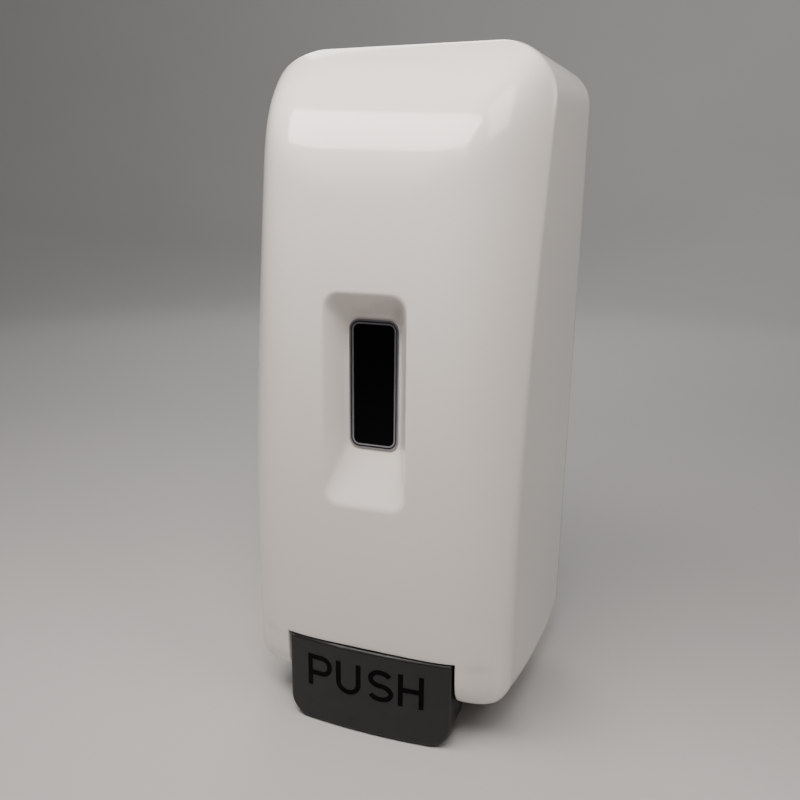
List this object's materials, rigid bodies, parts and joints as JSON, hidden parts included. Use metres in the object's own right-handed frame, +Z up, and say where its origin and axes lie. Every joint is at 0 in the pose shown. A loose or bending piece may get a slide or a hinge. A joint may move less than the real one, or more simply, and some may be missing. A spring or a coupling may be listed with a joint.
{
  "type": "wall mounted soap dispenser",
  "caption": "Tall wall mounted soap dispenser with a crowned hinged cover, a recessed level window and a front push lever that works a foam pump.",
  "frame": {"origin": "on the wall face of the back plate, at the centre of the rectangle of wall screw holes", "axes": "+X to the right seen from the front, +Y into the wall, +Z up"},
  "size_m": [0.1264, 0.1059, 0.279],
  "materials": {
    "cover_plastic": "high gloss moulded plastic, warm white",
    "plate_plastic": "satin moulded plastic, warm light grey",
    "bracket_plastic": "satin moulded plastic, grey",
    "lever_plastic": "fine textured satin plastic, charcoal",
    "black_plastic": "satin plastic, black",
    "lens_black": "polished smoked plastic, near black",
    "bezel_metal": "bright satin metal line",
    "seal_rubber": "soft black rubber",
    "valve_silicone": "translucent silicone",
    "steel": "drawn steel",
    "zinc_steel": "bright zinc plated steel",
    "spring_steel": "stainless spring wire",
    "bottle_plastic": "translucent natural polyethylene",
    "cap_plastic": "moulded polypropylene, pale grey",
    "pump_plastic": "moulded polypropylene, white",
    "nozzle_plastic": "moulded polypropylene, translucent white",
    "mesh_nylon": "woven nylon mesh",
    "lock_chrome": "chromed zinc casting",
    "lock_brass": "machined brass"
  },
  "bodies": {
    "wall_unit": {"back_plate": "plate_plastic", "pump_bracket": "bracket_plastic", "bracket_screws": "zinc_steel", "hinge_pins": "steel", "lock_keeper": "steel", "keeper_screws": "zinc_steel", "soap_bottle": "bottle_plastic", "bottle_cap": "cap_plastic", "neck_gasket": "seal_rubber", "pump_housing": "pump_plastic", "pump_end_cap": "pump_plastic", "inlet_valve": "valve_silicone", "pump_spring": "spring_steel"},
    "cover": {"front_cover": "cover_plastic", "window_bezel": "bezel_metal", "window_gasket": "seal_rubber", "lens_trim": "bezel_metal", "window_lens": "lens_black", "window_retainer": "black_plastic", "lever_pivot_rod": "steel", "pivot_clips": "zinc_steel", "lock_housing": "lock_chrome", "lock_nut": "lock_brass"},
    "lever": {"push_lever": "lever_plastic"},
    "pump_piston": {"piston": "pump_plastic", "piston_seal": "seal_rubber", "outlet_valve": "valve_silicone", "pump_actuator": "pump_plastic", "foam_nozzle": "nozzle_plastic", "foam_screen": "mesh_nylon"},
    "lock": {"lock_plug": "lock_brass", "lock_cam": "zinc_steel", "cam_screw": "zinc_steel"}
  },
  "joints": [
    {"name": "cover_hinge", "type": "hinge", "parent": "wall_unit", "child": "cover", "pos_m": [0, -0.013, -0.119], "axis": [1, 0, 0], "range_deg": [0, 75]},
    {"name": "lever_pivot", "type": "hinge", "parent": "cover", "child": "lever", "pos_m": [0, -0.088, -0.112], "axis": [1, 0, 0], "range_deg": [0, 18], "stiffness_Nm_per_rad": 0.35, "springref_deg": -8.59},
    {"name": "pump_stroke", "type": "slide", "parent": "wall_unit", "child": "pump_piston", "axis": [0, 0, 1], "range_m": [0, 0.0125], "deforming": ["pump_spring"]},
    {"name": "lock_turn", "type": "hinge", "parent": "cover", "child": "lock", "pos_m": [0, -0.018, 0.12], "axis": [0, 0, 1], "range_deg": [0, 90]}
  ],
  "couplings": [
    {"joint": "pump_stroke", "follows": "lever_pivot", "m_per_rad": 0.0395}
  ]
}
